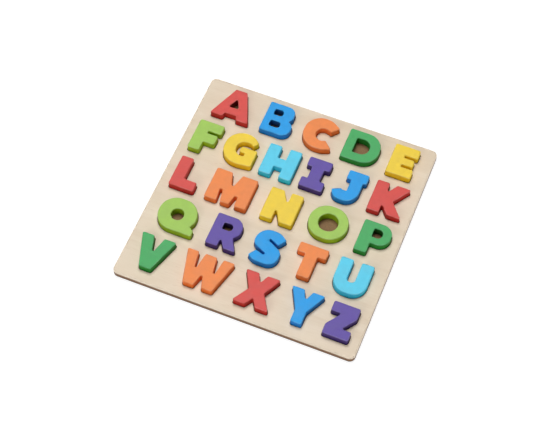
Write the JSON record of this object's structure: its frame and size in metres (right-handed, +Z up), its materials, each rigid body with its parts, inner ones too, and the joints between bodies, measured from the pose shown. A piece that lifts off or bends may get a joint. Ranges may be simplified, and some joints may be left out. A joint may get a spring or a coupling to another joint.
{
  "type": "alphabet puzzle",
  "caption": "Square wooden tray puzzle: a pale sheet with letter-shaped recesses on a brown backing, holding thick painted capital-letter blocks that lift straight out.",
  "frame": {"origin": "middle of the tray's underside", "axes": "+Z up out of the recesses, +X along a row in reading order, +Y from the last row towards the first"},
  "size_m": [0.3, 0.3, 0.017],
  "materials": {
    "face_ply": "satin lacquer on pale plywood",
    "fibreboard": "bare brown fibreboard",
    "paint_red": "satin paint on wood",
    "paint_blue": "satin paint on wood",
    "paint_orange": "satin paint on wood",
    "paint_green": "satin paint on wood",
    "paint_yellow": "satin paint on wood",
    "paint_lime": "satin paint on wood",
    "paint_cyan": "satin paint on wood",
    "paint_purple": "satin paint on wood"
  },
  "bodies": {
    "tray": {"backing": "fibreboard", "top_sheet": "face_ply"},
    "piece_a": {"letter_a": "paint_red"},
    "piece_b": {"letter_b": "paint_blue"},
    "piece_c": {"letter_c": "paint_orange"},
    "piece_d": {"letter_d": "paint_green"},
    "piece_e": {"letter_e": "paint_yellow"},
    "piece_f": {"letter_f": "paint_lime"},
    "piece_g": {"letter_g": "paint_yellow"},
    "piece_h": {"letter_h": "paint_cyan"},
    "piece_i": {"letter_i": "paint_purple"},
    "piece_j": {"letter_j": "paint_blue"},
    "piece_k": {"letter_k": "paint_red"},
    "piece_l": {"letter_l": "paint_red"},
    "piece_m": {"letter_m": "paint_orange"},
    "piece_n": {"letter_n": "paint_yellow"},
    "piece_o": {"letter_o": "paint_lime"},
    "piece_p": {"letter_p": "paint_green"},
    "piece_q": {"letter_q": "paint_lime"},
    "piece_r": {"letter_r": "paint_purple"},
    "piece_s": {"letter_s": "paint_blue"},
    "piece_t": {"letter_t": "paint_orange"},
    "piece_u": {"letter_u": "paint_cyan"},
    "piece_v": {"letter_v": "paint_green"},
    "piece_w": {"letter_w": "paint_orange"},
    "piece_x": {"letter_x": "paint_red"},
    "piece_y": {"letter_y": "paint_blue"},
    "piece_z": {"letter_z": "paint_purple"}
  },
  "joints": [
    {"name": "lift_a", "type": "slide", "parent": "tray", "child": "piece_a", "axis": [0, 0, 1], "range_m": [0, 0.04]},
    {"name": "lift_b", "type": "slide", "parent": "tray", "child": "piece_b", "axis": [0, 0, 1], "range_m": [0, 0.04]},
    {"name": "lift_c", "type": "slide", "parent": "tray", "child": "piece_c", "axis": [0, 0, 1], "range_m": [0, 0.04]},
    {"name": "lift_d", "type": "slide", "parent": "tray", "child": "piece_d", "axis": [0, 0, 1], "range_m": [0, 0.04]},
    {"name": "lift_e", "type": "slide", "parent": "tray", "child": "piece_e", "axis": [0, 0, 1], "range_m": [0, 0.04]},
    {"name": "lift_f", "type": "slide", "parent": "tray", "child": "piece_f", "axis": [0, 0, 1], "range_m": [0, 0.04]},
    {"name": "lift_g", "type": "slide", "parent": "tray", "child": "piece_g", "axis": [0, 0, 1], "range_m": [0, 0.04]},
    {"name": "lift_h", "type": "slide", "parent": "tray", "child": "piece_h", "axis": [0, 0, 1], "range_m": [0, 0.04]},
    {"name": "lift_i", "type": "slide", "parent": "tray", "child": "piece_i", "axis": [0, 0, 1], "range_m": [0, 0.04]},
    {"name": "lift_j", "type": "slide", "parent": "tray", "child": "piece_j", "axis": [0, 0, 1], "range_m": [0, 0.04]},
    {"name": "lift_k", "type": "slide", "parent": "tray", "child": "piece_k", "axis": [0, 0, 1], "range_m": [0, 0.04]},
    {"name": "lift_l", "type": "slide", "parent": "tray", "child": "piece_l", "axis": [0, 0, 1], "range_m": [0, 0.04]},
    {"name": "lift_m", "type": "slide", "parent": "tray", "child": "piece_m", "axis": [0, 0, 1], "range_m": [0, 0.04]},
    {"name": "lift_n", "type": "slide", "parent": "tray", "child": "piece_n", "axis": [0, 0, 1], "range_m": [0, 0.04]},
    {"name": "lift_o", "type": "slide", "parent": "tray", "child": "piece_o", "axis": [0, 0, 1], "range_m": [0, 0.04]},
    {"name": "lift_p", "type": "slide", "parent": "tray", "child": "piece_p", "axis": [0, 0, 1], "range_m": [0, 0.04]},
    {"name": "lift_q", "type": "slide", "parent": "tray", "child": "piece_q", "axis": [0, 0, 1], "range_m": [0, 0.04]},
    {"name": "lift_r", "type": "slide", "parent": "tray", "child": "piece_r", "axis": [0, 0, 1], "range_m": [0, 0.04]},
    {"name": "lift_s", "type": "slide", "parent": "tray", "child": "piece_s", "axis": [0, 0, 1], "range_m": [0, 0.04]},
    {"name": "lift_t", "type": "slide", "parent": "tray", "child": "piece_t", "axis": [0, 0, 1], "range_m": [0, 0.04]},
    {"name": "lift_u", "type": "slide", "parent": "tray", "child": "piece_u", "axis": [0, 0, 1], "range_m": [0, 0.04]},
    {"name": "lift_v", "type": "slide", "parent": "tray", "child": "piece_v", "axis": [0, 0, 1], "range_m": [0, 0.04]},
    {"name": "lift_w", "type": "slide", "parent": "tray", "child": "piece_w", "axis": [0, 0, 1], "range_m": [0, 0.04]},
    {"name": "lift_x", "type": "slide", "parent": "tray", "child": "piece_x", "axis": [0, 0, 1], "range_m": [0, 0.04]},
    {"name": "lift_y", "type": "slide", "parent": "tray", "child": "piece_y", "axis": [0, 0, 1], "range_m": [0, 0.04]},
    {"name": "lift_z", "type": "slide", "parent": "tray", "child": "piece_z", "axis": [0, 0, 1], "range_m": [0, 0.04]}
  ]
}
